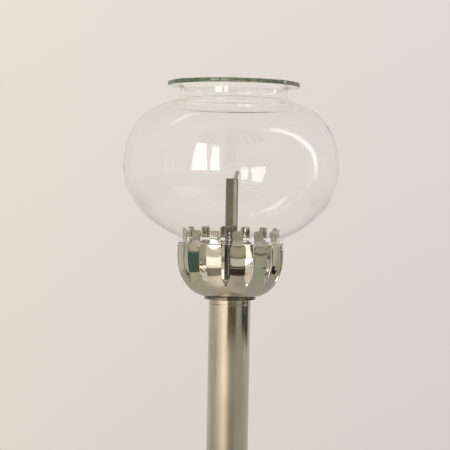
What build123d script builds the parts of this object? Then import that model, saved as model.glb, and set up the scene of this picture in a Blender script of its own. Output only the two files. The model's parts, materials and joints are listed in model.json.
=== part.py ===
from build123d import *
import math
import os

# A processional torch: a plated tube pole, a plate and a cup of spring fingers on its top,
# a liquid-wax burner whose tank hangs inside the pole, and a blown-glass globe round the flame.
# Millimetres, +Z up. The origin is the centre of the pole's foot.

# Pole and foot
overall_height = 900.0
pole_diameter = 32.0
pole_wall = 1.0
foot_thickness = 4.0
foot_chamfer = 1.0
foot_spigot_length = 16.0
foot_spigot_wall = 3.0

# Collar and plate between pole and cup
collar_height = 3.5
collar_spigot_length = 20.0
collar_neck_wall = 1.2
seam_chamfer = 0.25
plate_diameter = 39.5
plate_thickness = 2.3
plate_edge_round = 0.6

# Cup of spring fingers
cup_wall = 1.0
cup_radius = 40.8
cup_floor_radius = 18.0
cup_curve_height = 30.0
cup_side_height = 10.8
cup_bend_radius = 2.6
finger_count = 14
finger_first_angle = 7.5
finger_step = 3.3
finger_root_round = 0.8
finger_tip_height = 10.5
finger_tip_width = 7.8
finger_tip_shoulder = 1.9
finger_tip_round = 1.85
slot_width = 6.4
slot_end_height = 7.5
slot_taper_height = 9.0
slot_end_round = 0.8
slot_side_round = 8.0
slot_step_round = 2.0

# Lock ring inside the cup
lock_ring_edge_gap = 0.3
lock_ring_height = 4.5
lock_ring_notches = 6
lock_ring_notch_width = 3.0
lock_ring_notch_depth = 1.2
neck_end_inset = 0.5

# Tank of the burner
tank_diameter = 26.4
tank_wall = 0.8
tank_length = 100.0
tank_base_thickness = 1.0
tank_base_spigot = 4.0
tank_base_dish = 1.6

# Lid, its seal and its nut
gasket_thickness = 1.2
lid_radius = 17.0
lid_thickness = 2.0
lid_plug_length = 7.0
lid_scallops = 18
lid_scallop_radius = 1.6
lid_scallop_depth = 0.7
washer_radius = 8.0
washer_thickness = 0.8
nut_across_flats = 14.0
nut_height = 4.5
nut_corner_angle = 30.0

# Stem and wick
stem_diameter = 9.6
stem_wall = 0.8
stem_height = 90.0
stem_mouth_chamfer = 0.3
wick_diameter = 3.0
wick_tip_rise = 6.6
wick_lean_angle = 17.0
wick_floor_gap = 2.0
wick_end_round = 0.8
wick_bend_radius = 35.0

# Glass globe
glass_wall = 2.3
globe_radius = 83.3
globe_height = 122.7
globe_belly_height = 56.2
globe_side_pull = 32.0
globe_shoulder_pull = 26.0
globe_shoulder_dip = 3.0
globe_collar_length = 4.0
globe_neck_radius = 41.0
globe_neck_length = 11.1
globe_rim_radius = 50.7
globe_rim_thickness = 3.4
globe_rim_round = 1.2
globe_neck_round = 3.0
globe_shoulder_round = 4.0
globe_collar_round = 3.0

# Clearances
solder_gap = 0.05
thread_gap = 0.1
burner_gap = 0.3
glass_gap = 0.3
wick_gap = 0.1

# Radii that follow from the fits
pole_radius = pole_diameter / 2
pole_bore = pole_radius - pole_wall
tank_radius = tank_diameter / 2
tank_bore = tank_radius - tank_wall
collar_bore = tank_radius + burner_gap
neck_radius = collar_bore + collar_neck_wall
neck_hole = neck_radius + solder_gap
lock_ring_radius = cup_floor_radius - lock_ring_edge_gap
stem_radius = stem_diameter / 2
stem_bore = stem_radius - stem_wall
stem_hole = stem_radius + thread_gap
wick_radius = wick_diameter / 2
tip_radius = cup_radius - finger_step
glass_collar_bore = tip_radius + glass_gap

# Heights, from the rim of the glass downwards
seat_top = overall_height - globe_height
plate_top = seat_top - cup_side_height - cup_curve_height
plate_bottom = plate_top - plate_thickness
pole_top = plate_bottom - collar_height
ring_bottom = plate_top + cup_wall
ring_top = ring_bottom + lock_ring_height
tank_top = ring_top - gasket_thickness
tank_bottom = tank_top - tank_length
lid_top = ring_top + lid_thickness
washer_top = lid_top + washer_thickness
stem_bottom = ring_top - lid_plug_length
stem_top = plate_top + stem_height


def section(*edges):
    """A closed face in the XZ plane, from edges drawn as (radius, height)."""
    return Plane.XZ * make_face(Curve() + list(edges))


def turned(*outline):
    """A solid of revolution from the corners of its half section."""
    return revolve(section(Polyline(*outline, close=True)), Axis.Z)


def ring(outer, inner, low, high):
    return turned((inner, low), (outer, low), (outer, high), (inner, high))


def round_corners(face, corners, radius):
    """Round those corners of an XZ face that lie at the given (radius, height) points."""
    wanted = [Vector(x, 0, z) for x, z in corners]
    chosen = [v for v in face.vertices() if any((Vector(v) - w).length < 0.001 for w in wanted)]
    return fillet(chosen, radius)


def pole_tube():
    return turned(
        (pole_bore, foot_thickness),
        (pole_radius, foot_thickness),
        (pole_radius, pole_top - seam_chamfer),
        (pole_radius - seam_chamfer, pole_top),
        (pole_bore, pole_top),
    )


def foot_cap():
    spigot = pole_bore - solder_gap
    spigot_top = foot_thickness + foot_spigot_length
    well = spigot - foot_spigot_wall
    return turned(
        (0, 0),
        (pole_radius - foot_chamfer, 0),
        (pole_radius, foot_chamfer),
        (pole_radius, foot_thickness),
        (spigot, foot_thickness),
        (spigot, spigot_top),
        (well, spigot_top),
        (well, foot_thickness),
        (0, foot_thickness),
    )


def collar():
    spigot = pole_bore - solder_gap
    return turned(
        (collar_bore, pole_top - collar_spigot_length),
        (spigot, pole_top - collar_spigot_length),
        (spigot, pole_top),
        (pole_radius - seam_chamfer, pole_top),
        (pole_radius, pole_top + seam_chamfer),
        (pole_radius, plate_bottom),
        (neck_radius, plate_bottom),
        (neck_radius, ring_top - neck_end_inset),
        (collar_bore, ring_top - neck_end_inset),
    )


def flange_plate():
    plate = ring(plate_diameter / 2, neck_hole, plate_bottom, plate_top)
    return fillet(plate.edges().filter_by(GeomType.CIRCLE).group_by(SortBy.RADIUS)[-1], plate_edge_round)


def cup_section():
    """Half section of the cup: flat floor, quarter ellipse, straight side, shoulder and tip."""
    side_low = plate_top + cup_curve_height
    tip_top = seat_top + finger_tip_height
    inner_side = cup_radius - cup_wall
    inner_tip = tip_radius - cup_wall
    curve_centre = (cup_floor_radius, side_low)
    outer_width = cup_radius - cup_floor_radius
    inner_width = outer_width - cup_wall
    inner_height = cup_curve_height - cup_wall
    face = section(
        Line((neck_hole, plate_top), (cup_floor_radius, plate_top)),
        EllipticalCenterArc(curve_centre, outer_width, cup_curve_height, -90, arc_size=90),
        Polyline(
            (cup_radius, side_low),
            (cup_radius, seat_top),
            (tip_radius, seat_top),
            (tip_radius, tip_top),
            (inner_tip, tip_top),
            (inner_tip, seat_top - cup_wall),
            (inner_side, seat_top - cup_wall),
            (inner_side, side_low),
        ),
        EllipticalCenterArc(curve_centre, inner_width, inner_height, -90, arc_size=90),
        Polyline((cup_floor_radius, ring_bottom), (neck_hole, ring_bottom), (neck_hole, plate_top)),
    )
    face = round_corners(face, [(cup_radius, seat_top)], cup_bend_radius)
    face = round_corners(face, [(inner_side, seat_top - cup_wall)], cup_bend_radius - cup_wall)
    return round_corners(face, [(inner_tip, seat_top - cup_wall)], finger_root_round)


def slot_cutter():
    """A slot between two fingers: a V at its foot, wider from the bend up, open between rounded tips."""
    half = slot_width / 2
    upper_half = (2 * math.pi * tip_radius / finger_count - finger_tip_width) / 2
    low = plate_top + slot_end_height
    straight = low + slot_taper_height
    bend_low = seat_top - cup_bend_radius
    tip_top = seat_top + finger_tip_height
    wide = upper_half + finger_tip_shoulder
    outline = [
        (-wide, tip_top + cup_wall),
        (-wide, tip_top),
        (-upper_half, tip_top),
        (-upper_half, seat_top),
        (-half, bend_low),
        (-half, straight),
        (0, low),
        (half, straight),
        (half, bend_low),
        (upper_half, seat_top),
        (upper_half, tip_top),
        (wide, tip_top),
        (wide, tip_top + cup_wall),
    ]
    steps = [(-upper_half, seat_top), (-half, bend_low), (half, bend_low), (upper_half, seat_top)]
    face = section(Polyline(*outline, close=True))
    face = round_corners(face, [(0, low)], slot_end_round)
    face = round_corners(face, [(-half, straight), (half, straight)], slot_side_round)
    face = round_corners(face, steps, slot_step_round)
    face = round_corners(face, [(-upper_half, tip_top), (upper_half, tip_top)], finger_tip_round)
    inside = Pos(0, -cup_floor_radius, 0) * face
    return extrude(inside, cup_radius - cup_floor_radius + cup_wall, dir=(0, -1, 0))


def finger_cup():
    cup = revolve(cup_section(), Axis.Z)
    cutter = slot_cutter()
    pitch = 360 / finger_count
    first_slot = finger_first_angle + pitch / 2
    cutters = [Rot(0, 0, first_slot + pitch * n) * cutter for n in range(finger_count)]
    return cup - cutters


def lock_ring():
    notch = Box(
        2 * lock_ring_notch_depth, lock_ring_notch_width, lock_ring_height,
        align=(Align.CENTER, Align.CENTER, Align.MIN),
    )
    step = 360 / lock_ring_notches
    places = [Rot(0, 0, step * n) * Pos(lock_ring_radius, 0, ring_bottom) for n in range(lock_ring_notches)]
    return ring(lock_ring_radius, neck_hole, ring_bottom, ring_top) - [place * notch for place in places]


def tank_body():
    return ring(tank_radius, tank_bore, tank_bottom + tank_base_thickness, tank_top)


def tank_base():
    spigot = tank_bore - solder_gap
    floor = tank_bottom + tank_base_thickness
    cup_edge = spigot - tank_wall
    return turned(
        (0, tank_bottom + tank_base_dish),
        (cup_edge, tank_bottom),
        (tank_radius, tank_bottom),
        (tank_radius, floor),
        (spigot, floor),
        (spigot, floor + tank_base_spigot),
        (cup_edge, floor + tank_base_spigot),
        (cup_edge, floor),
        (0, floor + tank_base_dish),
    )


def lid_gasket():
    return ring(tank_radius, tank_bore + thread_gap, tank_top, ring_top)


def tank_lid():
    plug = tank_bore - thread_gap
    lid = turned(
        (stem_hole, stem_bottom),
        (plug, stem_bottom),
        (plug, ring_top),
        (lid_radius, ring_top),
        (lid_radius, lid_top),
        (stem_hole, lid_top),
    )
    cutter = Cylinder(lid_scallop_radius, lid_thickness, align=(Align.CENTER, Align.CENTER, Align.MIN))
    reach = lid_radius + lid_scallop_radius - lid_scallop_depth
    step = 360 / lid_scallops
    return lid - [Rot(0, 0, step * n) * Pos(reach, 0, ring_top) * cutter for n in range(lid_scallops)]


def stem_washer():
    return ring(washer_radius, stem_hole, lid_top, washer_top)


def stem_nut():
    """A hexagon nut, its corners turned off by a cone at both ends."""
    hexagon = RegularPolygon(nut_across_flats / 2, 6, major_radius=False)
    nut = Pos(0, 0, washer_top) * extrude(hexagon, nut_height)
    corner = nut_across_flats / math.sqrt(3)
    flat = nut_across_flats / 2
    slope = (corner - flat) * math.tan(math.radians(nut_corner_angle))
    top = washer_top + nut_height
    blank = turned(
        (0, washer_top), (flat, washer_top), (corner, washer_top + slope),
        (corner, top - slope), (flat, top), (0, top),
    )
    hole = Pos(0, 0, washer_top) * Cylinder(
        stem_hole, nut_height, align=(Align.CENTER, Align.CENTER, Align.MIN)
    )
    return (nut & blank) - hole


def wick_tube():
    return turned(
        (stem_bore, stem_bottom),
        (stem_radius, stem_bottom),
        (stem_radius, stem_top - stem_mouth_chamfer),
        (stem_radius - stem_mouth_chamfer, stem_top),
        (stem_bore, stem_top),
    )


def wick():
    """A round wick, straight up from the tank's floor and leaning over the stem's lip at its end."""
    lean = math.radians(wick_lean_angle)
    lip_offset = stem_bore - wick_gap - wick_radius / math.cos(lean)
    bend = stem_top - lip_offset / math.tan(lean)
    tip = stem_top + wick_tip_rise - wick_radius * math.sin(lean)
    start = tank_bottom + tank_base_thickness + tank_base_dish + wick_floor_gap
    path = FilletPolyline(
        (0, 0, start), (0, 0, bend), ((tip - bend) * math.tan(lean), 0, tip), radius=wick_bend_radius
    )
    strand = sweep(Pos(0, 0, start) * Circle(wick_radius), path)
    return fillet(strand.edges().sort_by(Axis.Z)[-1], wick_end_round)


def bulb_curves(inset):
    """The bulb's lower ellipse and fuller upper curve, drawn inset from the outside, and their ends."""
    collar_outside = glass_collar_bore + glass_wall
    wide = globe_radius - inset
    belly = seat_top + globe_belly_height
    drop = (globe_belly_height - globe_collar_length) / math.sqrt(1 - (collar_outside / globe_radius) ** 2)
    drop -= inset
    low_radius = collar_outside - inset
    turn = math.acos(low_radius / wide)
    low_end = (low_radius, belly - drop * math.sin(turn))
    neck_base = overall_height - globe_rim_thickness - globe_neck_length - inset
    high_radius = globe_neck_radius - inset
    high_end = (high_radius, neck_base)
    lower = EllipticalCenterArc((0, belly), wide, drop, -math.degrees(turn), arc_size=math.degrees(turn))
    upper = Bezier(
        (wide, belly),
        (wide, belly + globe_side_pull),
        (high_radius + globe_shoulder_pull, neck_base - globe_shoulder_dip),
        high_end,
    )
    return lower, upper, low_end, high_end


def glass_globe():
    lower_out, upper_out, low_out, high_out = bulb_curves(0)
    lower_in, upper_in, low_in, high_in = bulb_curves(glass_wall)
    rim_low = overall_height - globe_rim_thickness
    foot_out = (low_out[0], seat_top)
    foot_in = (low_in[0], seat_top)
    neck_out = (high_out[0], rim_low)
    mouth = (high_in[0], overall_height)
    rim_under = (globe_rim_radius, rim_low)
    rim_edge = (globe_rim_radius, overall_height)
    face = section(
        Polyline(low_in, foot_in, foot_out, low_out),
        lower_out,
        upper_out,
        Polyline(high_out, neck_out, rim_under, rim_edge, mouth, high_in),
        upper_in,
        lower_in,
    )
    bends = [
        (low_out, low_in, globe_collar_round),
        (high_out, high_in, globe_shoulder_round),
        (neck_out, mouth, globe_neck_round),
    ]
    for outside, inside, radius in bends:
        face = round_corners(face, [outside], radius)
        face = round_corners(face, [inside], radius + glass_wall)
    face = round_corners(face, [rim_under, rim_edge], globe_rim_round)
    return revolve(face, Axis.Z)


pieces = {
    "pole_tube": pole_tube,
    "foot_cap": foot_cap,
    "collar": collar,
    "flange_plate": flange_plate,
    "finger_cup": finger_cup,
    "lock_ring": lock_ring,
    "tank_body": tank_body,
    "tank_base": tank_base,
    "lid_gasket": lid_gasket,
    "tank_lid": tank_lid,
    "stem_washer": stem_washer,
    "stem_nut": stem_nut,
    "wick_tube": wick_tube,
    "wick": wick,
    "glass_globe": glass_globe,
}

os.makedirs("parts", exist_ok=True)
for name, build in pieces.items():
    export_step(build(), f"parts/{name}.step")
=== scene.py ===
import json
import math

import bmesh
import bpy
from mathutils import Matrix, Vector, noise


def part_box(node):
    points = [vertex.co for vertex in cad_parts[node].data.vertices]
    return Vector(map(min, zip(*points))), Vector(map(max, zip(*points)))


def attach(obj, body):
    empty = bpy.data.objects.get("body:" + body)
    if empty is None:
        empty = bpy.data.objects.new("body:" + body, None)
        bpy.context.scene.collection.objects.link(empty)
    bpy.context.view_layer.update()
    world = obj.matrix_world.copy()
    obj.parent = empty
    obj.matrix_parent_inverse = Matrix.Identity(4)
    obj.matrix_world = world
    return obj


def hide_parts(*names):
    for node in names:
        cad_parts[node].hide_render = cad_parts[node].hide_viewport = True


# The finished look of a processional torch: plated tube pole, cup of spring fingers, liquid-wax
# burner and blown-glass globe. Metres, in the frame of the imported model.

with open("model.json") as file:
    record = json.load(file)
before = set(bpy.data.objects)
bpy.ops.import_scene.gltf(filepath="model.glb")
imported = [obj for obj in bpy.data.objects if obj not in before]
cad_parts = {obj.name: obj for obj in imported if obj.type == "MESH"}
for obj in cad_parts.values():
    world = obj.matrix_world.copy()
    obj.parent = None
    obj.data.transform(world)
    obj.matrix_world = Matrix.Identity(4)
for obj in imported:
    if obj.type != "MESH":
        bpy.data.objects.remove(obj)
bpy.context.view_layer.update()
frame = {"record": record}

MM = 0.001
BODY_OF = {n: body for body, nodes in frame["record"]["behaviour"]["bodies"].items() for n in nodes}

# Walls and edges that the boxes of the nodes don't give
pole_wall = 1.0 * MM
seam_chamfer = 0.25 * MM
soft_edge = 0.15 * MM
foot_chamfer = 1.0 * MM
foot_spigot_wall = 3.0 * MM
solder_gap = 0.05 * MM
burner_gap = 0.3 * MM
neck_wall = 1.2 * MM
plate_round = 0.6 * MM
cup_wall = 1.0 * MM
cup_floor_radius = 18.0 * MM
cup_curve_height = 30.0 * MM
cup_bend = 2.6 * MM
finger_root_round = 0.8 * MM
finger_step = 3.3 * MM
finger_tip_width = 7.8 * MM
finger_count = 14
finger_first_angle = math.radians(7.5)
finger_tip_round = 1.85 * MM
finger_flatness = 0.30 * MM
finger_flatness_change = 0.14 * MM
finger_most_lean = 0.30 * MM
finger_most_twist = 0.16 * MM
slot_half = 3.2 * MM
slot_end_height = 7.5 * MM
slot_taper_height = 9.0 * MM
slot_end_round = 0.8 * MM
slot_blend = 1.4 * MM
slot_step = 0.3 * MM
ring_notches = 6
ring_notch_half = 1.5 * MM
ring_notch_depth = 1.2 * MM
lid_scallops = 18
lid_scallop_radius = 1.6 * MM
lid_scallop_depth = 0.7 * MM
lid_thickness = 2.0 * MM
thread_pitch = 1.5 * MM
thread_depth = 0.3 * MM
thread_gap = 0.1 * MM
tank_wall = 0.8 * MM
tank_dish = 1.6 * MM
tank_spigot = 4.0 * MM
stem_wall = 0.8 * MM
stem_gap = 0.1 * MM
wick_lean = math.radians(17.0)
wick_bend_radius = 35.0 * MM
scorch_length = 9.0 * MM
# Width over which the painted shade at the finger tips fades in
shade_patches = 4.0 * MM
glass_wall = 2.3 * MM
glass_collar = 4.0 * MM
glass_gap = 0.3 * MM
belly_height = 56.2 * MM
side_pull = 32.0 * MM
shoulder_pull = 26.0 * MM
shoulder_dip = 3.0 * MM
neck_radius = 41.0 * MM
neck_length = 11.1 * MM
rim_radius = 50.7 * MM
rim_thickness = 3.4 * MM
globe_rim_round = 1.2 * MM
globe_neck_round = 3.0 * MM
globe_shoulder_round = 6.5 * MM
globe_collar_round = 3.0 * MM
glass_waviness = 0.22 * MM
globe_pull = 0.9 * MM


def reach(node):
    """Outer radius, lowest and highest point of a round node."""
    low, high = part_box(node)
    return max(high.x - low.x, high.y - low.y) / 2, low.z, high.z


pole_radius, foot_top, pole_top = reach("pole_tube")
plate_radius, plate_low, plate_top = reach("flange_plate")
cup_radius, _, tip_top = reach("finger_cup")
globe_radius, seat_top, rim_top = reach("glass_globe")
tank_radius = reach("tank_body")[0]
tank_bore = tank_radius - tank_wall
tip_radius = cup_radius - finger_step
neck_base = rim_top - rim_thickness - neck_length
collar_bore = tank_radius + burner_gap
collar_neck = collar_bore + neck_wall
neck_hole = collar_neck + solder_gap
pole_bore = pole_radius - pole_wall
pole_spigot = pole_bore - solder_gap
stem_hole = (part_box("wick_tube")[1].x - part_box("wick_tube")[0].x) / 2 + stem_gap


# Mesh helpers

def rounded(corners, steps=5):
    """An outline of (radius, height, rounding) corners, each drawn as an arc that fits its neighbours."""
    points = []
    count = len(corners)
    for n, (x, z, size) in enumerate(corners):
        here = Vector((x, z))
        back = Vector(corners[n - 1][:2]) - here
        ahead = Vector(corners[(n + 1) % count][:2]) - here
        if size <= 0 or min(back.length, ahead.length) < 1e-9:
            points.append((x, z))
            continue
        opening = back.angle(ahead)
        if abs(opening - math.pi) < 0.02:
            points.append((x, z))
            continue
        room_back = back.length * (0.48 if corners[n - 1][2] else 0.98)
        room_ahead = ahead.length * (0.48 if corners[(n + 1) % count][2] else 0.98)
        cut = min(size / math.tan(opening / 2), room_back, room_ahead)
        size = cut * math.tan(opening / 2)
        start = here + back.normalized() * cut
        middle = here + (back.normalized() + ahead.normalized()).normalized() * size / math.sin(opening / 2)
        arm = start - middle
        sweep = math.pi - opening
        if back.x * ahead.y - back.y * ahead.x > 0:
            sweep = -sweep
        for k in range(steps + 1):
            turn = sweep * k / steps
            c, s = math.cos(turn), math.sin(turn)
            points.append((middle.x + c * arm.x - s * arm.y, middle.y + s * arm.x + c * arm.y))
    return points


def new_piece(name, mesh):
    piece = bpy.data.objects.new(name, mesh)
    bpy.context.scene.collection.objects.link(piece)
    return piece


def mesh_of(name, verts, faces, weld=0.0):
    """A smooth mesh with its faces turned outwards."""
    mesh = bpy.data.meshes.new(name)
    mesh.from_pydata(verts, [], faces)
    work = bmesh.new()
    work.from_mesh(mesh)
    if weld:
        bmesh.ops.remove_doubles(work, verts=work.verts, dist=weld)
    bmesh.ops.recalc_face_normals(work, faces=work.faces)
    work.to_mesh(mesh)
    work.free()
    mesh.shade_smooth()
    return mesh


def even_shading(piece):
    """Flat faces stay flat, and the small roundings between them carry the turn of the surface."""
    shading = piece.modifiers.new("even_shading", "WEIGHTED_NORMAL")
    shading.keep_sharp = True
    return piece


def lathe(name, outline, segments=192, change=None):
    """A closed outline turned round the axis.

    change(angle, radius, height) gives the point that shows there.
    """
    verts, faces = [], []
    count = len(outline)
    for s in range(segments):
        angle = 2 * math.pi * s / segments
        for radius, height in outline:
            if change:
                radius, height = change(angle, radius, height)
            verts.append((radius * math.sin(angle), -radius * math.cos(angle), height))
    for s in range(segments):
        here, there = s * count, ((s + 1) % segments) * count
        for k in range(count):
            n = (k + 1) % count
            faces.append((here + k, here + n, there + n, there + k))
    return even_shading(new_piece(name, mesh_of(name, verts, faces, weld=1e-7)))


def stands_for(piece, node, *materials):
    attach(piece, BODY_OF[node])
    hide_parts(node)
    for material in materials:
        piece.data.materials.append(material)


def off_nearest(angle, count, first):
    """How far an angle is from the nearest of so many places round the axis."""
    step = 2 * math.pi / count
    return (angle - first + step / 2) % step - step / 2


# Material helpers

def add(tree, kind, values=None, **settings):
    """A shader node with its settings and its inputs: a constant, or the socket that feeds it."""
    made = tree.nodes.new(kind)
    for key, value in settings.items():
        setattr(made, key, value)
    for key, value in (values or {}).items():
        socket = made.inputs[key]
        if isinstance(value, bpy.types.NodeSocket):
            tree.links.new(value, socket)
        else:
            socket.default_value = value
    return made


def new_material(name):
    material = bpy.data.materials.new(name)
    material.use_nodes = True
    tree = material.node_tree
    tree.nodes.clear()
    output = add(tree, "ShaderNodeOutputMaterial")
    place = add(tree, "ShaderNodeTexCoord").outputs["Object"]
    return material, tree, output, place


def grain(tree, place, scale, stretch=(1, 1, 1), detail=3.0, roughness=0.5):
    """Noise at so many features a metre, stretched along the axes."""
    laid = add(tree, "ShaderNodeMapping", {"Vector": place, "Scale": stretch}).outputs[0]
    texture = add(tree, "ShaderNodeTexNoise", {
        "Vector": laid, "Scale": scale, "Detail": detail, "Roughness": roughness,
    })
    return texture.outputs[0]


def spread(tree, value, low, high, from_low=0.3, from_high=0.7):
    return add(tree, "ShaderNodeMapRange", {
        "Value": value, "From Min": from_low, "From Max": from_high, "To Min": low, "To Max": high,
    }).outputs[0]


def blend_colours(tree, share, first, second):
    mix = add(tree, "ShaderNodeMix", {"Factor": share}, data_type="RGBA")
    for socket, colour in ((mix.inputs[6], first), (mix.inputs[7], second)):
        if isinstance(colour, bpy.types.NodeSocket):
            tree.links.new(colour, socket)
        else:
            socket.default_value = (*colour, 1)
    return mix.outputs[2]


def colour_ramp(tree, share, stops):
    """Colours along a share from 0 to 1, from pairs of a place on it and a colour."""
    made = add(tree, "ShaderNodeValToRGB", {"Fac": share})
    elements = made.color_ramp.elements
    elements.remove(elements[-1])
    for n, (position, colour) in enumerate(stops):
        stop = elements.new(position) if n else elements[0]
        stop.position = position
        stop.color = (*colour, 1)
    return made.outputs[0]


def raised(tree, height, depth, over=None):
    values = {"Height": height, "Distance": depth, "Strength": 1.0}
    if over:
        values["Normal"] = over
    return add(tree, "ShaderNodeBump", values).outputs[0]


def surface(tree, output, values):
    shader = add(tree, "ShaderNodeBsdfPrincipled", values)
    tree.links.new(shader.outputs[0], output.inputs["Surface"])


def polished_metal(name, clean, toned, smooth, worn, line_depth, wave_depth, shade_height=None):
    """Polished plate: fine polishing lines round the axis, long waves, smears and a faint uneven tone.

    The last argument gives a height above which the base colour is painted darker: painted shade for the dim
    reflections at the cup's finger tips.
    """
    material, tree, output, place = new_material(name)
    tone = spread(tree, grain(tree, place, 45.0, detail=4.0), 0.0, 1.0)
    smears = grain(tree, place, 160.0, (1, 1, 0.35), 5.0, 0.65)
    lines = grain(tree, place, 260.0, (0.12, 0.12, 14.0), 2.0)
    waves = grain(tree, place, 38.0, detail=1.0)
    waved = raised(tree, waves, wave_depth)
    colour = blend_colours(tree, tone, clean, toned)
    # Painted shade: above that height the colour turns dark, its lower edge broken into patches by the
    # smears.
    if shade_height:
        height = add(tree, "ShaderNodeSeparateXYZ", {"Vector": place}).outputs["Z"]
        uneven = {0: smears, 1: shade_patches, 2: height}
        uneven = add(tree, "ShaderNodeMath", uneven, operation="MULTIPLY_ADD").outputs[0]
        share = spread(tree, uneven, 0.0, 1.0, shade_height, shade_height + shade_patches)
        colour = blend_colours(tree, share, colour, (0.40, 0.37, 0.31))
    surface(tree, output, {
        "Base Color": colour,
        "Metallic": 1.0,
        "Roughness": spread(tree, smears, smooth, worn, 0.35, 0.75),
        "Normal": raised(tree, lines, line_depth, waved),
    })
    return material


def glass_material():
    """Clear glass with cords in it, with painted shade that tints the rim's outer part a little darker."""
    material, tree, output, place = new_material("clear_blown_glass")
    cords = grain(tree, place, 22.0, (1, 1, 2.2), 1.5)
    x, y, z = add(tree, "ShaderNodeSeparateXYZ", {"Vector": place}).outputs
    flat = add(tree, "ShaderNodeCombineXYZ", {"X": x, "Y": y}).outputs[0]
    radius = add(tree, "ShaderNodeVectorMath", {0: flat}, operation="LENGTH").outputs["Value"]
    # Painted shade: the rim's outer part is tinted a little darker and warmer for the dark look of the thick
    # rim.
    outward = spread(tree, radius, 0.0, 1.0, neck_radius + 4 * MM, rim_radius - 0.5 * MM)
    high = spread(tree, z, 0.0, 1.0, rim_top - rim_thickness - 2 * MM, rim_top - rim_thickness)
    edge = add(tree, "ShaderNodeMath", {0: outward, 1: high}, operation="MULTIPLY").outputs[0]
    surface(tree, output, {
        "Base Color": blend_colours(tree, edge, (1, 1, 1), (0.97, 0.955, 0.93)),
        "Transmission Weight": 1.0,
        "IOR": 1.49,
        "Roughness": 0.0,
        "Normal": raised(tree, cords, 0.00012),
    })
    depth = add(tree, "ShaderNodeVolumeAbsorption", {"Color": (0.72, 0.82, 0.62, 1), "Density": 4.5})
    tree.links.new(depth.outputs[0], output.inputs["Volume"])
    return material


def ground_material():
    """The ground edges of the glass."""
    material, tree, output, place = new_material("ground_glass")
    pits = grain(tree, place, 2600.0, detail=2.0)
    surface(tree, output, {
        "Base Color": (0.95, 0.98, 0.96, 1),
        "Transmission Weight": 0.55,
        "IOR": 1.49,
        "Roughness": spread(tree, pits, 0.4, 0.7),
        "Normal": raised(tree, pits, 0.00003),
    })
    return material


def brass_material():
    material, tree, output, place = new_material("drawn_brass")
    drawn = grain(tree, place, 500.0, (6.0, 6.0, 0.08), 2.0)
    stains = grain(tree, place, 70.0, detail=5.0, roughness=0.6)
    surface(tree, output, {
        "Base Color": blend_colours(tree, spread(tree, stains, 0, 1), (0.80, 0.60, 0.28), (0.62, 0.42, 0.18)),
        "Metallic": 1.0,
        "Roughness": spread(tree, stains, 0.16, 0.34),
        "Normal": raised(tree, drawn, 0.00001),
    })
    return material


def rubber_material():
    material, tree, output, place = new_material("black_rubber")
    bloom = grain(tree, place, 320.0, detail=4.0)
    surface(tree, output, {
        "Base Color": blend_colours(tree, bloom, (0.02, 0.02, 0.02), (0.055, 0.055, 0.05)),
        "Roughness": spread(tree, bloom, 0.5, 0.75),
        "Normal": raised(tree, bloom, 0.00003),
    })
    return material


def fibre_material():
    material, tree, output, place = new_material("red_fibre")
    pressed = grain(tree, place, 900.0, (1, 1, 5), 4.0)
    surface(tree, output, {
        "Base Color": blend_colours(tree, pressed, (0.20, 0.035, 0.02), (0.36, 0.09, 0.05)),
        "Roughness": spread(tree, pressed, 0.45, 0.65),
        "Normal": raised(tree, pressed, 0.00003),
    })
    return material


def wick_material():
    """Braided glass fibre, a little scorched near its end."""
    material, tree, output, place = new_material("braided_fibre")
    strands = grain(tree, place, 1800.0, (1, 1, 0.25), 3.0)
    height = add(tree, "ShaderNodeSeparateXYZ", {"Vector": place}).outputs["Z"]
    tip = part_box("wick")[1].z
    scorch = spread(tree, height, 0.0, 0.75, tip - scorch_length, tip)
    clean = blend_colours(tree, strands, (0.60, 0.58, 0.51), (0.80, 0.78, 0.71))
    surface(tree, output, {
        "Base Color": blend_colours(tree, scorch, clean, (0.36, 0.36, 0.31)),
        "Roughness": 0.85,
        "Sheen Weight": 0.2,
        "Normal": raised(tree, strands, 0.00005),
    })
    return material


nickel = ((0.74, 0.70, 0.62), (0.68, 0.63, 0.54))
# Painted shade: the flange plate under the cup gets a dark base colour for the shade it sits in.
plate_shade_tones = ((0.32, 0.30, 0.26), (0.26, 0.24, 0.20))
# Painted shade: the wick tube inside the globe gets a dark base colour for its dim reflections there.
stem_shade_tones = ((0.22, 0.21, 0.185), (0.18, 0.17, 0.145))
tube_nickel = polished_metal("nickel_tube", *nickel, 0.13, 0.20, 0.002 * MM, 0.06 * MM)
# The cup's finger tips above the seat get painted shade in place of dim reflections.
cup_nickel = polished_metal("nickel_cup", *nickel, 0.03, 0.09, 0.001 * MM, 0.09 * MM, shade_height=seat_top + 1 * MM)
plate_nickel = polished_metal("plate_nickel_painted_shade", *plate_shade_tones, 0.06, 0.14, 0.001 * MM, 0.03 * MM)
stem_nickel = polished_metal("stem_nickel_painted_shade", *stem_shade_tones, 0.05, 0.12, 0.001 * MM, 0.03 * MM)
inner_nickel = polished_metal("nickel_turned", *nickel, 0.12, 0.24, 0.006 * MM, 0.02 * MM)
clear_glass = glass_material()
ground_glass = ground_material()
brass = brass_material()
rubber = rubber_material()
red_fibre = fibre_material()
wick_fibre = wick_material()


# Pole, foot, collar and plate

def make_pole():
    piece = lathe("pole_tube_polished", rounded([
        (pole_bore, foot_top, soft_edge),
        (pole_radius, foot_top, soft_edge),
        (pole_radius, pole_top - seam_chamfer, 0.1 * MM),
        (pole_radius - seam_chamfer, pole_top, 0.05 * MM),
        (pole_bore, pole_top, soft_edge),
    ]))
    stands_for(piece, "pole_tube", tube_nickel)


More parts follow.
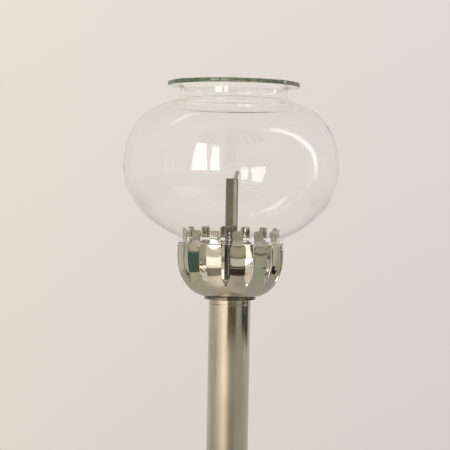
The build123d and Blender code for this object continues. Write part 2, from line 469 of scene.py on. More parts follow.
def make_foot():
    _, low, high = reach("foot_cap")
    well = pole_spigot - foot_spigot_wall
    piece = lathe("foot_cap_turned", rounded([
        (0, low, 0),
        (pole_radius - foot_chamfer, low, 0.3 * MM),
        (pole_radius, low + foot_chamfer, 0.3 * MM),
        (pole_radius, foot_top, soft_edge),
        (pole_spigot, foot_top, 0),
        (pole_spigot, high, 0.4 * MM),
        (well, high, 0.3 * MM),
        (well, foot_top, 0.5 * MM),
        (0, foot_top, 0),
    ]))
    stands_for(piece, "foot_cap", inner_nickel)


def make_collar():
    _, low, high = reach("collar")
    piece = lathe("collar_turned", rounded([
        (collar_bore, low, 0.3 * MM),
        (pole_spigot, low, 0.4 * MM),
        (pole_spigot, pole_top, 0),
        (pole_radius - seam_chamfer, pole_top, 0.05 * MM),
        (pole_radius, pole_top + seam_chamfer, 0.1 * MM),
        (pole_radius, plate_low, soft_edge),
        (collar_neck, plate_low, 0),
        (collar_neck, high, 0.2 * MM),
        (collar_bore, high, 0.3 * MM),
    ]))
    stands_for(piece, "collar", tube_nickel)


def make_plate():
    piece = lathe("flange_plate_turned", rounded([
        (neck_hole, plate_low, 0.1 * MM),
        (plate_radius, plate_low, plate_round),
        (plate_radius, plate_top, plate_round),
        (neck_hole, plate_top, 0.1 * MM),
    ], steps=8))
    stands_for(piece, "flange_plate", plate_nickel)


# Cup of spring fingers

def slot_width_at(height):
    """Half the width of a slot: a V with a round end, then straight sides, wider from the bend up."""
    lean = math.atan(slot_half / slot_taper_height)
    above = height - plate_top - slot_end_height
    centre = slot_end_round / math.sin(lean)
    if above <= centre - slot_end_round:
        return 0.0
    if above < centre - slot_end_round * math.sin(lean):
        return math.sqrt(max(slot_end_round ** 2 - (centre - above) ** 2, 0))
    if above < slot_taper_height - slot_blend:
        return above * math.tan(lean)
    if above < slot_taper_height + slot_blend:
        left = slot_taper_height + slot_blend - above
        return slot_half - math.tan(lean) * left ** 2 / (4 * slot_blend)
    upper_half = (2 * math.pi * tip_radius / finger_count - finger_tip_width) / 2
    share = (height - (seat_top - cup_bend - slot_step)) / (cup_bend + 2 * slot_step)
    share = max(0.0, min(1.0, share))
    half = slot_half + (upper_half - slot_half) * share ** 2 * (3 - 2 * share)
    past = max(0.0, height - (tip_top - finger_tip_round))
    return half + finger_tip_round - math.sqrt(max(finger_tip_round ** 2 - past ** 2, 0))


def cup_heights():
    """Heights up the bowl and the fingers, closer together where the slots begin and at the tips."""
    lean = math.atan(slot_half / slot_taper_height)
    slot_start = plate_top + slot_end_height + slot_end_round / math.sin(lean) - slot_end_round
    side_low = plate_top + cup_curve_height
    begin = math.asin((slot_start - side_low) / cup_curve_height)
    bowl_turns = [-math.pi / 2 + (begin + math.pi / 2) * k / 14 for k in range(15)]
    bowl = [side_low + cup_curve_height * math.sin(turn) for turn in bowl_turns]
    close = [slot_start + step * MM for step in (0.02, 0.06, 0.12, 0.2, 0.32, 0.48, 0.7, 1.0)]
    begin = math.asin((close[-1] - side_low) / cup_curve_height)
    rest = [side_low + cup_curve_height * math.sin(begin * (1 - k / 16)) for k in range(1, 17)]
    return bowl + close + rest


def cup_stations():
    """Pairs of points, (outer, inner), up the wall of the cup from its hole to its tips."""
    side_low = plate_top + cup_curve_height
    wide = cup_radius - cup_floor_radius
    outer, inner = [(neck_hole, plate_top)], [(neck_hole, plate_top + cup_wall)]
    for height in cup_heights():
        turn = math.asin(max(-1.0, min(1.0, (height - side_low) / cup_curve_height)))
        outer.append((cup_floor_radius + wide * math.cos(turn), height))
        inner.append((
            cup_floor_radius + (wide - cup_wall) * math.cos(turn),
            side_low + (cup_curve_height - cup_wall) * math.sin(turn),
        ))
    sides = 8
    for k in range(1, sides):
        height = side_low + (seat_top - cup_bend - side_low) * k / sides
        outer.append((cup_radius, height))
        inner.append((cup_radius - cup_wall, height))
    tips = [tip_top - finger_tip_round * (1 - math.sin(math.pi / 2 * k / 9)) for k in range(10)]
    cup_bore, tip_bore, seat_low = cup_radius - cup_wall, tip_radius - cup_wall, seat_top - cup_wall
    outer += rounded([
        (cup_radius, outer[-1][1], 0), (cup_radius, seat_top, cup_bend), (tip_radius, seat_top, soft_edge),
        (tip_radius, tips[0], 0),
    ], steps=9)[1:-1]
    inner += rounded([
        (cup_bore, inner[-1][1], 0), (cup_bore, seat_low, cup_bend - cup_wall),
        (tip_bore, seat_low, finger_root_round), (tip_bore, tips[0], 0),
    ], steps=9)[1:-1]
    shank = [seat_top + (tips[0] - seat_top) * share for share in (0.25, 0.5, 0.75)]
    outer += [(tip_radius, height) for height in shank + tips]
    inner += [(tip_bore, height) for height in shank + tips]
    return outer, inner


def finger_lean(finger, across, height):
    """How far a hand-bent finger stands in from the true circle."""
    start = plate_top + slot_end_height
    rise = max(0.0, min(1.0, (height - start) / (seat_top - start)))
    chance = [0.5 + 0.5 * noise.noise(Vector((finger * 1.37 + 0.3, 7.1 * k, 2.7))) for k in range(3)]
    flat = (finger_flatness + finger_flatness_change * chance[0]) * (1 - across ** 2)
    lean = finger_most_lean * chance[1] * rise
    way = 2 * chance[2] - 1
    twist = finger_most_twist * (1 + across * math.copysign(1, way)) * abs(way)
    return (flat + twist) * math.sin(rise * math.pi / 2) + lean


def make_cup():
    outer, inner = cup_stations()
    columns = 18
    pitch = 2 * math.pi / finger_count
    verts, faces = [], []
    rows = len(outer)
    for finger in range(finger_count):
        middle = finger_first_angle + pitch * finger
        start = len(verts)
        for wall in (outer, inner):
            for radius, height in wall:
                half = pitch / 2 - math.asin(slot_width_at(height) / radius)
                for c in range(columns + 1):
                    across = 2 * c / columns - 1
                    angle = middle + across * half
                    r = radius - finger_lean(finger, across, height)
                    verts.append((r * math.sin(angle), -r * math.cos(angle), height))
        width = columns + 1
        inside = start + rows * width
        for k in range(rows - 1):
            for c in range(columns):
                a = start + k * width + c
                faces.append((a, a + 1, a + 1 + width, a + width))
                b = inside + k * width + c
                faces.append((b, b + width, b + 1 + width, b + 1))
            if slot_width_at(outer[k + 1][1]) > 0:
                for c, flip in ((0, False), (columns, True)):
                    a, b = start + k * width + c, inside + k * width + c
                    wall = (a, a + width, b + width, b)
                    faces.append(wall[::-1] if flip else wall)
        for c in range(columns):
            top = (rows - 1) * width + c
            faces.append((start + top, start + top + 1, inside + top + 1, inside + top))
            faces.append((start + c, inside + c, inside + c + 1, start + c + 1))
    piece = new_piece("finger_cup_spun", mesh_of("finger_cup_spun", verts, faces, weld=2e-6))
    edges = piece.modifiers.new("worn_edges", "BEVEL")
    edges.width = 0.12 * MM
    edges.segments = 2
    edges.limit_method = "ANGLE"
    edges.angle_limit = math.radians(50)
    even_shading(piece)
    stands_for(piece, "finger_cup", cup_nickel)


def make_lock_ring():
    radius, low, high = reach("lock_ring")

    def notched(angle, r, z):
        if r < radius - ring_notch_depth:
            return r, z
        if abs(r * math.sin(off_nearest(angle, ring_notches, math.pi / 2))) < ring_notch_half:
            r -= ring_notch_depth
        return r, z

    piece = lathe("lock_ring_turned", rounded([
        (neck_hole, low, 0.1 * MM), (radius, low, 0.2 * MM),
        (radius, high, 0.35 * MM), (neck_hole, high, 0.3 * MM),
    ]), 360, notched)
    stands_for(piece, "lock_ring", inner_nickel)


# Burner

def threaded(low, high, crest, outward=True):
    """A right-hand thread between two heights, cut from the crest into the wall."""
    def change(angle, r, z):
        if abs(r - crest) > 0.02 * MM or not low < z < high:
            return r, z
        turn = (z / thread_pitch + angle / (2 * math.pi)) % 1.0
        cut = thread_depth * (1 - abs(2 * turn - 1))
        fade = min(1.0, (z - low) / thread_pitch, (high - z) / thread_pitch)
        return r - cut * fade * (1 if outward else -1), z
    return change


def wall_steps(radius, low, high, step):
    count = max(2, round((high - low) / step))
    return [(radius, low + (high - low) * k / count, 0) for k in range(1, count)]


def make_tank():
    _, low, high = reach("tank_body")
    thread_low = high - 7 * MM
    walls = wall_steps(tank_bore, thread_low, high - 0.3 * MM, thread_pitch / 8)[::-1]
    piece = lathe("tank_body_drawn", rounded([
        (tank_bore, low, 0), (tank_radius, low, 0),
        (tank_radius, high, soft_edge), (tank_bore, high, soft_edge),
        *walls, (tank_bore, thread_low, 0),
    ]), 144)
    stands_for(piece, "tank_body", brass)


def make_tank_base():
    radius, low, high = reach("tank_base")
    floor = high - tank_spigot
    spigot = tank_bore - solder_gap
    edge = spigot - tank_wall
    dish = [(edge * k / 8, low + tank_dish * (1 - (k / 8) ** 2), 0) for k in range(8)]
    inside = [(edge * k / 8, floor + tank_dish * (1 - (k / 8) ** 2), 0) for k in range(7, -1, -1)]
    piece = lathe("tank_base_pressed", rounded([
        *dish, (edge, low, 0.2 * MM), (radius, low, 0.3 * MM), (radius, floor, 0), (spigot, floor, 0),
        (spigot, high, 0.2 * MM), (edge, high, 0.2 * MM), (edge, floor, 0), *inside,
    ]), 144)
    stands_for(piece, "tank_base", brass)


def make_gasket():
    radius, low, high = reach("lid_gasket")
    inner = tank_bore + thread_gap
    piece = lathe("lid_gasket_moulded", rounded([
        (inner, low, 0.2 * MM), (radius, low, 0.4 * MM), (radius, high, 0.4 * MM), (inner, high, 0.2 * MM),
    ]), 144)
    stands_for(piece, "lid_gasket", rubber)


def make_lid():
    radius, low, high = reach("tank_lid")
    flange_low = high - lid_thickness
    plug = tank_bore - thread_gap
    cutter = radius + lid_scallop_radius - lid_scallop_depth
    thread = threaded(low + 0.2 * MM, flange_low - 0.3 * MM, plug)

    def cut(angle, r, z):
        if r > radius - 1.5 * lid_scallop_depth:
            off = off_nearest(angle, lid_scallops, math.pi / 2)
            side = cutter * math.sin(off)
            if abs(side) < lid_scallop_radius:
                edge = cutter * math.cos(off) - math.sqrt(lid_scallop_radius ** 2 - side ** 2)
                return min(r, edge - (radius - r)), z
            return r, z
        return thread(angle, r, z)

    piece = lathe("tank_lid_turned", rounded([
        (stem_hole, low, 0.2 * MM), (plug, low, 0.3 * MM),
        *wall_steps(plug, low, flange_low, thread_pitch / 8),
        (plug, flange_low, 0), (radius, flange_low, 0.25 * MM),
        (radius, high, 0.35 * MM), (stem_hole, high, 0.2 * MM),
    ], steps=3), 432, cut)
    stands_for(piece, "tank_lid", inner_nickel)


def make_washer():
    radius, low, high = reach("stem_washer")
    piece = lathe("stem_washer_pressed", rounded([
        (stem_hole, low, 0.1 * MM), (radius, low, 0.25 * MM),
        (radius, high, 0.25 * MM), (stem_hole, high, 0.1 * MM),
    ]), 96)
    stands_for(piece, "stem_washer", red_fibre)


def make_nut():
    low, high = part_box("stem_nut")
    flat = (high.y - low.y) / 2
    corner = (high.x - low.x) / 2
    slope = math.tan(math.radians(30))
    rise = (corner - flat) * slope

    def hexagon(angle, r, z):
        if r < flat * 0.98:
            return r, z
        side = flat / math.cos(off_nearest(angle, 6, 0.0))
        cone = flat + min(z - low.z, high.z - z) / slope
        return min(side, cone, corner), z

    steps = [(corner, low.z + rise * k / 6, 0) for k in range(7)]
    upper = [(corner, high.z - rise * k / 6, 0) for k in range(6, -1, -1)]
    piece = lathe("stem_nut_milled", rounded([
        (stem_hole, low.z, 0.1 * MM), *steps, *upper, (stem_hole, high.z, 0.3 * MM),
    ]), 192, hexagon)
    stands_for(piece, "stem_nut", inner_nickel)


def make_stem():
    radius, low, high = reach("wick_tube")
    bore = radius - stem_wall
    thread_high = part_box("stem_nut")[1].z
    walls = wall_steps(radius, low, thread_high, thread_pitch / 8)
    piece = lathe("wick_tube_polished", rounded([
        (bore, low, 0.1 * MM), (radius, low, 0.2 * MM), *walls, (radius, thread_high, 0),
        (radius, high, 0.32 * MM), (bore, high, 0.3 * MM),
    ], steps=6), 96)
    stands_for(piece, "wick_tube", stem_nickel)


def make_wick():
    """A braided round wick along the CAD wick's line, straight up and then leaning over the stem's lip."""
    low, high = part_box("wick")
    radius = (high.y - low.y) / 2
    stem_radius, _, stem_top = reach("wick_tube")
    aside = stem_radius - stem_wall - 0.1 * MM - radius / math.cos(wick_lean)
    bend = stem_top - aside / math.tan(wick_lean)
    tangent = wick_bend_radius * math.tan(wick_lean / 2)
    tip_height = high.z - radius * math.sin(wick_lean)
    straight = bend - tangent - low.z
    arc = wick_bend_radius * wick_lean
    last = (tip_height - bend) / math.cos(wick_lean) - tangent

    def centre(s):
        """The point and the lean at a length along the wick."""
        if s < straight:
            return Vector((0, 0, low.z + s)), 0.0
        turn = min((s - straight) / wick_bend_radius, wick_lean)
        past = max(0.0, s - straight - arc)
        bent = Vector((1 - math.cos(turn), 0, math.sin(turn))) * wick_bend_radius
        ahead = Vector((math.sin(turn), 0, math.cos(turn))) * past
        return Vector((0, 0, low.z + straight)) + bent + ahead, turn

    length = straight + arc + last
    rings, columns = round(length / (0.45 * MM)), 32
    strands, braid = 4, 5.0 * MM
    verts, faces = [], []
    for n in range(rings + 1):
        s = length * n / rings
        point, turn = centre(s)
        side = Vector((math.cos(turn), 0, -math.sin(turn)))
        end = max(0.0, 1 - min(s, length - s) / (0.9 * MM))
        for c in range(columns):
            angle = 2 * math.pi * c / columns
            one = math.cos(strands * (angle + 2 * math.pi * s / (strands * braid)))
            other = math.cos(strands * (angle - 2 * math.pi * s / (strands * braid)))
            weave = 0.5 * abs(one) + 0.5 * abs(other)
            r = radius * (0.90 + 0.10 * weave) * (1 - 0.28 * end ** 2)
            verts.append(point + side * (r * math.cos(angle)) + Vector((0, r * math.sin(angle), 0)))
    for n in range(rings):
        for c in range(columns):
            d = (c + 1) % columns
            a, b = n * columns, (n + 1) * columns
            faces.append((a + c, a + d, b + d, b + c))
    for n, shift in ((0, 0), (rings, 0.25 * MM)):
        point, turn = centre(length * n / rings)
        verts.append(point + Vector((math.sin(turn), 0, math.cos(turn))) * shift)
        hub, ring = len(verts) - 1, n * columns
        for c in range(columns):
            faces.append((ring + c, ring + (c + 1) % columns, hub))
    piece = new_piece("wick_braided", mesh_of("wick_braided", verts, faces))
    stands_for(piece, "wick", wick_fibre)


# Globe

def bulb(steps=44):
    """The bulb's outside, from its collar to its neck."""
    collar_outside = tip_radius + glass_gap + glass_wall
    belly = seat_top + belly_height
    drop = (belly_height - glass_collar) / math.sqrt(1 - (collar_outside / globe_radius) ** 2)
    begin = math.acos(collar_outside / globe_radius)
    points = []
    for k in range(steps + 1):
        turn = -begin * (1 - k / steps)
        points.append((globe_radius * math.cos(turn), belly + drop * math.sin(turn)))
    ends = [(globe_radius, belly), (globe_radius, belly + side_pull),
            (neck_radius + shoulder_pull, neck_base - shoulder_dip), (neck_radius, neck_base)]
    for k in range(1, steps + 1):
        t = k / steps
        shares = ((1 - t) ** 3, 3 * t * (1 - t) ** 2, 3 * t ** 2 * (1 - t), t ** 3)
        points.append(tuple(sum(s * p[axis] for s, p in zip(shares, ends)) for axis in (0, 1)))
    return points


def inside_of(outer):
    """The bulb's inside, one wall in from its outside, run on to the bores of the collar and the neck."""
    count = len(outer)
    inner = []
    for k, (r, z) in enumerate(outer):
        before, after = outer[max(k - 1, 0)], outer[min(k + 1, count - 1)]
        along = Vector((after[0] - before[0], after[1] - before[1])).normalized()
        inner.append((r - along.y * glass_wall, z + along.x * glass_wall))
    for end, beside, bore in ((0, 1, outer[0][0] - glass_wall), (-1, -2, neck_radius - glass_wall)):
        (r, z), (r_beside, z_beside) = inner[end], inner[beside]
        inner[end] = (bore, z + (bore - r) * (z_beside - z) / (r_beside - r))
    return inner


def blown(angle, r, z):
    """Blown glass is never quite true: it has long shallow swells and a fuller left side."""
    if not seat_top + 2 * glass_collar <= z <= neck_base:
        return r, z
    pull = max(0.0, (r - neck_radius) / (globe_radius - neck_radius))
    r -= globe_pull * pull ** 2 * (3 - 2 * pull) * (1 + math.sin(angle))
    at = Vector((math.sin(angle) * 2.2, math.cos(angle) * 2.2, z * 45))
    fade = min(1.0, (z - seat_top - 2 * glass_collar) / 0.02, (neck_base - z) / 0.01)
    return r - glass_waviness * fade * (0.5 + 0.5 * noise.noise(at)), z


def make_globe():
    outer = bulb()
    inner = inside_of(outer)
    rim_low = rim_top - rim_thickness

    def between(points, clear_low, clear_high):
        """The bulb's points that stay clear of its rounded ends."""
        low, high = Vector(points[0]), Vector(points[-1])
        return [(r, z, 0) for r, z in points
                if (Vector((r, z)) - low).length > clear_low and (Vector((r, z)) - high).length > clear_high]

    outline = rounded([
        (inner[0][0], seat_top, 0.3 * MM),
        (outer[0][0], seat_top, 0.4 * MM),
        (*outer[0], globe_collar_round),
        *between(outer, globe_collar_round, globe_shoulder_round),
        (*outer[-1], globe_shoulder_round),
        (neck_radius, rim_low, globe_neck_round),
        (rim_radius, rim_low, globe_rim_round),
        (rim_radius, rim_top, globe_rim_round),
        (neck_radius - glass_wall, rim_top, globe_neck_round + glass_wall),
        (*inner[-1], globe_shoulder_round + glass_wall),
        *between(inner, globe_collar_round + glass_wall, globe_shoulder_round + glass_wall)[::-1],
        (*inner[0], globe_collar_round + glass_wall),
    ], steps=12)
    piece = lathe("glass_globe_blown", outline, 288, blown)
    stands_for(piece, "glass_globe", clear_glass, ground_glass)
    for face in piece.data.polygons:
        if face.center.z < seat_top + 0.25 * MM:
            face.material_index = 1


# Room: floor, backdrop, lamps and the things that the polished metal mirrors

wall_left = (0.800, 0.725, 0.655)
wall_right = (0.725, 0.685, 0.643)
floor_far = (0.705, 0.652, 0.600)
globe_middle = 0.835
far, near, below, beside_stem = 1.1, 0.15, 0.25, 0.022


def tones_round(tree, azimuth, tones):
    """Colours round the horizon, from pairs of an azimuth in degrees and a colour."""
    share = spread(tree, azimuth, 0.0, 1.0, -math.pi, math.pi)
    return colour_ramp(tree, share, [((angle + 180) / 360, colour) for angle, colour in tones])


def mirrored_room(tree, azimuth, rise):
    """The room that polished metal mirrors, in bands of elevation from the ground up to the walls."""
    ground = tones_round(tree, azimuth, [
        (-150, (0.42, 0.40, 0.35)), (-88, (0.46, 0.45, 0.35)), (-60, (0.74, 0.66, 0.54)),
        (-36, (0.90, 0.79, 0.68)), (-15, (0.66, 0.60, 0.52)), (5, (0.50, 0.45, 0.39)),
        (30, (0.40, 0.36, 0.30)), (67, (0.40, 0.38, 0.32)), (150, (0.40, 0.38, 0.34)),
    ])
    foot = (0.52, 0.46, 0.39)
    low = tones_round(tree, azimuth, [
        (-150, (0.40, 0.39, 0.34)), (-112, (0.36, 0.36, 0.30)), (-104, (0.07, 0.12, 0.09)),
        (-74, (0.08, 0.13, 0.10)), (-66, (0.05, 0.05, 0.04)), (-52, (0.16, 0.15, 0.12)),
        (-44, (0.27, 0.26, 0.22)), (-24, (0.26, 0.25, 0.21)), (-12, (0.10, 0.085, 0.06)),
        (0, (0.05, 0.04, 0.03)), (34, (0.05, 0.04, 0.03)), (44, (0.36, 0.37, 0.30)),
        (98, (0.39, 0.40, 0.32)), (112, (0.36, 0.35, 0.32)), (180, (0.40, 0.38, 0.35)),
    ])
    turned = add(tree, "ShaderNodeMath", {0: rise, 1: 2.0, 2: 0.15}, operation="MULTIPLY_ADD").outputs[0]
    turned = add(tree, "ShaderNodeMath", {0: azimuth, 1: turned}, operation="ADD").outputs[0]
    middle = tones_round(tree, turned, [
        (-180, (0.66, 0.62, 0.57)), (-144, (0.58, 0.55, 0.50)), (-106, (0.47, 0.42, 0.35)),
        (-81, (0.60, 0.51, 0.40)), (-60, (0.82, 0.70, 0.56)), (-47, (1.00, 0.87, 0.70)),
        (-35, (1.28, 1.10, 0.88)), (-23, (1.18, 1.02, 0.84)), (-11, (0.78, 0.68, 0.56)),
        (0, (0.47, 0.41, 0.34)), (11, (0.36, 0.34, 0.28)), (60, (0.36, 0.35, 0.28)),
        (81, (0.38, 0.37, 0.31)), (97, (0.43, 0.42, 0.35)), (128, (0.52, 0.51, 0.45)),
        (180, (0.66, 0.62, 0.57)),
    ])
    walls = tones_round(tree, azimuth, [
        (-180, (0.62, 0.59, 0.54)), (-120, (0.54, 0.50, 0.45)), (-65, (0.44, 0.41, 0.36)),
        (-45, (0.62, 0.58, 0.50)), (-18, (0.40, 0.37, 0.32)), (-2, (0.24, 0.225, 0.195)),
        (30, (0.235, 0.225, 0.20)), (44, (0.30, 0.29, 0.265)), (80, (0.34, 0.33, 0.31)),
        (120, (0.54, 0.52, 0.48)), (180, (0.62, 0.59, 0.54)),
    ])
    dim = spread(tree, rise, 1.0, 0.55, 0.35, 0.95)
    walls = add(tree, "ShaderNodeVectorMath", {0: walls, 1: dim}, operation="MULTIPLY").outputs[0]
    ground = blend_colours(tree, spread(tree, rise, 0, 1, -0.99, -0.90), foot, ground)
    room = blend_colours(tree, spread(tree, rise, 0, 1, -0.645, -0.60), ground, low)
    room = blend_colours(tree, spread(tree, rise, 0, 1, -0.22, -0.17), room, middle)
    return blend_colours(tree, spread(tree, rise, 0, 1, -0.045, 0.03), room, walls)


def make_world():
    """A pale backdrop for the camera and for what shows through glass, and a room in reflections."""
    world = bpy.data.worlds.new("room")
    bpy.context.scene.world = world
    world.use_nodes = True
    world.cycles.sampling_method = "NONE"
    tree = world.node_tree
    tree.nodes.clear()
    way = add(tree, "ShaderNodeTexCoord").outputs["Generated"]
    x, y, z = add(tree, "ShaderNodeSeparateXYZ", {"Vector": way}).outputs
    behind = add(tree, "ShaderNodeMath", {0: y, 1: -1.0}, operation="MULTIPLY").outputs[0]
    azimuth = add(tree, "ShaderNodeMath", {0: x, 1: behind}, operation="ARCTAN2").outputs[0]
    room = mirrored_room(tree, azimuth, z)
    across = spread(tree, x, 0.0, 1.0, -0.155, 0.155)
    wall = blend_colours(tree, across, wall_left, wall_right)
    up = spread(tree, z, 0.93, 1.03, -0.17, 0.14)
    wall = add(tree, "ShaderNodeVectorMath", {0: wall, 1: up}, operation="MULTIPLY").outputs[0]
    light = add(tree, "ShaderNodeLightPath").outputs
    plain = blend_colours(tree, light["Is Glossy Ray"], (0.80, 0.79, 0.77), room)
    shown = add(tree, "ShaderNodeMath", {0: light["Is Camera Ray"], 1: light["Is Transmission Ray"]},
                operation="MAXIMUM").outputs[0]
    colour = blend_colours(tree, shown, plain, wall)
    sky = add(tree, "ShaderNodeBackground", {"Color": colour, "Strength": 1.0})
    output = add(tree, "ShaderNodeOutputWorld")
    tree.links.new(sky.outputs[0], output.inputs["Surface"])


def make_floor():
    """A round pale floor that fades into the backdrop."""
    radius, rings, segments = 3.0, 30, 96
    verts = [(0, 0, 0)]
    faces = []
    for n in range(1, rings + 1):
        for s in range(segments):
            angle = 2 * math.pi * s / segments
            verts.append((radius * n / rings * math.cos(angle), radius * n / rings * math.sin(angle), 0))
    for s in range(segments):
        faces.append((0, 1 + s, 1 + (s + 1) % segments))
        for n in range(rings - 1):
            a, b = 1 + n * segments, 1 + (n + 1) * segments
            faces.append((a + s, b + s, b + (s + 1) % segments, a + (s + 1) % segments))
    floor = new_piece("floor", mesh_of("floor", verts, faces))
    material, tree, output, place = new_material("pale_floor")
    away = add(tree, "ShaderNodeVectorMath", {0: place}, operation="LENGTH").outputs["Value"]
    fleck = grain(tree, place, 60.0, detail=4.0)
    tone = blend_colours(tree, fleck, (0.68, 0.64, 0.60), (0.72, 0.68, 0.64))
    matt = add(tree, "ShaderNodeBsdfDiffuse", {"Color": tone}).outputs[0]
    glow = add(tree, "ShaderNodeEmission", {"Color": (*floor_far, 1), "Strength": 1.0}).outputs[0]
    fade = spread(tree, away, 0.0, 1.0, 0.5, 2.2)
    camera = add(tree, "ShaderNodeLightPath").outputs["Is Camera Ray"]
    share = add(tree, "ShaderNodeMath", {0: fade, 1: camera}, operation="MULTIPLY").outputs[0]
    mixed = add(tree, "ShaderNodeMixShader", {0: share, 1: matt, 2: glow}).outputs[0]
    tree.links.new(mixed, output.inputs["Surface"])
    floor.data.materials.append(material)
    floor.visible_glossy = False


def screen(name, azimuth, width, distance, bands, low_drop=0.0, narrow=1.0, seen=("metal",)):
    """An upright glowing sheet, curved round the torch's axis: mostly a piece of the room, while the two
    sheets beside the stem are painted shade and a painted highlight. The camera doesn't see it.

    Azimuth and width are in degrees, from -Y towards +X. The bands are pairs of a height and a colour from
    the bottom up. The drop lowers the right-hand end of its low edge, and narrow is the top's share of the
    width. Seen as "metal" it shows in shiny surfaces, and as "glass" to all that looks out through the glass.
    """
    low, high = bands[0][0], bands[-1][0]
    columns = max(2, round(width / 3))
    verts = []
    for k in range(columns + 1):
        across = k / columns
        for level, share in ((low - low_drop * across, 1.0), (high, narrow)):
            a = math.radians(azimuth + width * share * (across - 0.5))
            verts.append((distance * math.sin(a), -distance * math.cos(a), level))
    faces = [(2 * k, 2 * k + 2, 2 * k + 3, 2 * k + 1) for k in range(columns)]
    material, tree, output, place = new_material(name)
    height = add(tree, "ShaderNodeSeparateXYZ", {"Vector": place}).outputs["Z"]
    share = spread(tree, height, 0.0, 1.0, low, high)
    tones = colour_ramp(tree, share, [((level - low) / (high - low), colour) for level, colour in bands])
    patch = spread(tree, grain(tree, place, 3.0 / distance, detail=2.0), 0.9, 1.1)
    glow = add(tree, "ShaderNodeEmission", {"Color": tones, "Strength": patch})
    tree.links.new(glow.outputs[0], output.inputs["Surface"])
    mirrored(name, verts, faces, material, seen)


def mirrored(name, verts, faces, material, seen):
    """A glowing piece of the stage that only reflections and glass show, and that lights nothing else."""
    mesh = bpy.data.meshes.new(name)
    mesh.from_pydata(verts, [], faces)
    mesh.materials.append(material)
    material.cycles.emission_sampling = "NONE"
    piece = new_piece(name, mesh)
    piece.visible_camera = piece.visible_diffuse = False
    piece.visible_glossy = "metal" in seen
    piece.visible_transmission = "glass" in seen
    piece.visible_shadow = piece.visible_volume_scatter = False
    return mesh


def streak(name, path, breadth, strength, seen=("metal",)):
    """A soft band of daylight along a path of azimuth, elevation and brightness, seen from the globe."""
    centre = Vector((0, 0, globe_middle))
    rails = ((-0.5, 0.0), (-0.2, 1.0), (0.2, 1.0), (0.5, 0.0))
    finer = []
    for (a, b, c), (d, e, f) in zip(path, path[1:]):
        finer += [(a + (d - a) * t, b + (e - b) * t, c + (f - c) * t) for t in (0, 0.25, 0.5, 0.75)]
    finer.append(path[-1])
    verts, glows = [], []
    for k, (azimuth, elevation, bright) in enumerate(finer):
        before, after = finer[max(k - 1, 0)], finer[min(k + 1, len(finer) - 1)]
        squeeze = math.cos(math.radians(elevation))
        along = Vector(((after[0] - before[0]) * squeeze, after[1] - before[1])).normalized()
        for across, glow in rails:
            a = math.radians(azimuth - along.y * breadth * across / squeeze)
            e = math.radians(elevation + along.x * breadth * across)
            way = Vector((math.sin(a) * math.cos(e), -math.cos(a) * math.cos(e), math.sin(e)))
            verts.append(centre + way * far)
            glows.append(glow * bright)
    count = len(rails)
    faces = [(k * count + c, k * count + c + 1, (k + 1) * count + c + 1, (k + 1) * count + c)
             for k in range(len(finer) - 1) for c in range(count - 1)]
    material, tree, output, _ = new_material(name)
    share = add(tree, "ShaderNodeAttribute", attribute_name="glow").outputs["Fac"]
    glow = add(tree, "ShaderNodeEmission", {
        "Color": (1.0, 0.985, 0.96, 1), "Strength": spread(tree, share, 0.4, strength, 0.0, 1.0),
    })
    tree.links.new(glow.outputs[0], output.inputs["Surface"])
    mesh = mirrored(name, verts, faces, material, seen)
    mesh.attributes.new("glow", "FLOAT", "POINT").data.foreach_set("value", glows)


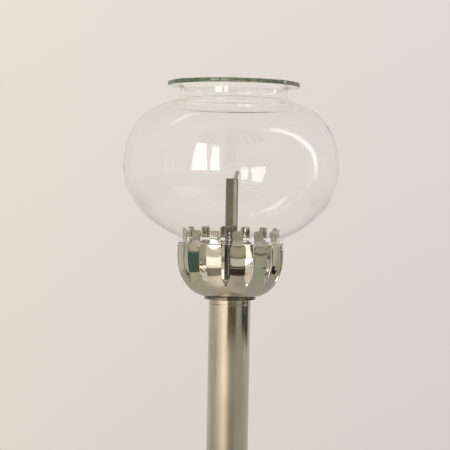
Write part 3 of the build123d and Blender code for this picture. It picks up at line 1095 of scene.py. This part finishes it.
def make_screens():
    both = ("metal", "glass")
    day = (5.0, 4.92, 4.80)
    screen("window_left_pane", -32.6, 18.4, far, [(0.74, day), (1.36, day)], narrow=0.62, seen=both)
    screen("window_left_side_pane", -16.4, 9.6, far, [(0.74, day), (1.28, day)], narrow=0.7, seen=both)
    streak("daylight_right", [
        (97, -12, 0.3), (98, -4, 0.45), (97, 6, 0.9), (94, 15, 1), (91, 18, 1), (83, 27, 1), (75, 35, 1),
        (64, 42, 1), (50, 46, 0.7),
    ], 8.0, 5.5)
    skylight = [(-114, 69, 0.5), (-108, 62, 1), (-100, 54, 1), (-92, 44, 0.7)]
    streak("skylight", skylight, 9.0, 3.0, seen=("glass",))

    green = (0.07, 0.12, 0.09)
    screen("near_green", -94.0, 50.0, near, [(0.7285, green), (0.7675, green), (0.769, (0.3, 0.3, 0.26))])
    ledge = (0.47, 0.455, 0.35)
    screen("near_ledge", -94.0, 50.0, near, [(0.650, ledge), (0.702, ledge)])
    white, bright, wall = (1.12, 1.00, 0.86), (1.45, 1.38, 1.24), (0.66, 0.61, 0.53)
    screen("near_sill", -36.0, 32.0, near, [
        (0.719, white), (0.7285, white), (0.735, bright), (0.7650, bright), (0.7660, wall), (0.772, wall),
    ])
    pale, line, olive = (0.66, 0.66, 0.57), (0.09, 0.08, 0.04), (0.44, 0.41, 0.32)
    screen("near_box", 19.0, 22.0, near, [
        (0.7300, pale), (0.7638, pale), (0.7643, line), (0.7658, line), (0.7664, olive), (0.772, olive),
    ])
    grey = (0.39, 0.40, 0.32)
    screen("near_grey", 67.0, 24.0, near, [
        (0.7265, grey), (0.7664, grey), (0.7668, line), (0.7676, line), (0.7680, grey), (0.772, grey),
    ])
    dull_low, dull_high = (0.36, 0.35, 0.32), (0.42, 0.40, 0.35)
    screen("near_dull", 118.0, 24.0, near, [(0.7265, dull_low), (0.772, dull_high)])

    fade, brown = (0.36, 0.33, 0.27), (0.10, 0.072, 0.02)
    screen("brown_box", 12.0, 46.0, below, [(0.677, fade), (0.692, brown), (0.721, brown)])
    black = (0.02, 0.02, 0.02)
    screen("black_sill", 92.0, 52.0, below, [(0.692, black), (0.722, black)], low_drop=0.017)
    # Painted shade and a painted highlight: two glowing sheets right beside the wick tube, inside the globe,
    # that only its reflections show; they are no part of the room.
    stem_painted_shade, stem_painted_highlight = (0.55, 0.53, 0.44), (1.65, 1.58, 1.40)
    screen("stem_painted_shade", -40.5, 109.0, beside_stem, [(0.7895, stem_painted_shade), (0.832, stem_painted_shade)])
    screen("stem_painted_highlight", 60.0, 62.0, beside_stem, [(0.7895, stem_painted_highlight), (0.832, stem_painted_highlight)])


def make_lamps():
    for name, place, size, power in (
        ("soft_key", (-1.5, -1.9, 2.3), 1.6, 26.0),
        ("soft_fill", (2.2, -0.8, 1.9), 1.4, 12.0),
    ):
        lamp = bpy.data.lights.new(name, "AREA")
        lamp.shape = "SQUARE"
        lamp.size = size
        lamp.energy = power
        lamp.color = (1.0, 0.97, 0.93)
        holder = bpy.data.objects.new(name, lamp)
        bpy.context.scene.collection.objects.link(holder)
        holder.location = place
        holder.rotation_euler = (Vector((0, 0, 0.6)) - Vector(place)).to_track_quat("-Z", "Y").to_euler()
        holder.visible_camera = holder.visible_glossy = holder.visible_transmission = False


def make_camera():
    view_distance, eye_height, aim_height, aside = 1.1, 0.8115, 0.7909, -0.0048
    data = bpy.data.cameras.new("camera")
    data.sensor_width = 36.0
    data.lens = 114.9
    camera = bpy.data.objects.new("camera", data)
    bpy.context.scene.collection.objects.link(camera)
    camera.location = (aside, -view_distance, eye_height)
    aim = Vector((aside, 0, aim_height)) - camera.location
    turn = aim.to_track_quat("-Z", "Y").to_matrix().to_4x4()
    roll = math.radians(1.1)
    camera.matrix_world = Matrix.Translation(camera.location) @ turn @ Matrix.Rotation(roll, 4, "Z")
    bpy.context.scene.camera = camera


for build in (
    make_pole, make_foot, make_collar, make_plate, make_cup, make_lock_ring, make_tank, make_tank_base,
    make_gasket, make_lid, make_washer, make_nut, make_stem, make_wick, make_globe,
    make_world, make_floor, make_screens, make_lamps, make_camera,
):
    build()

# Light runs far along the globe's wall before it leaves
scene = bpy.context.scene
scene.view_settings.view_transform = "Standard"
scene.cycles.max_bounces = scene.cycles.glossy_bounces = scene.cycles.transmission_bounces = 64
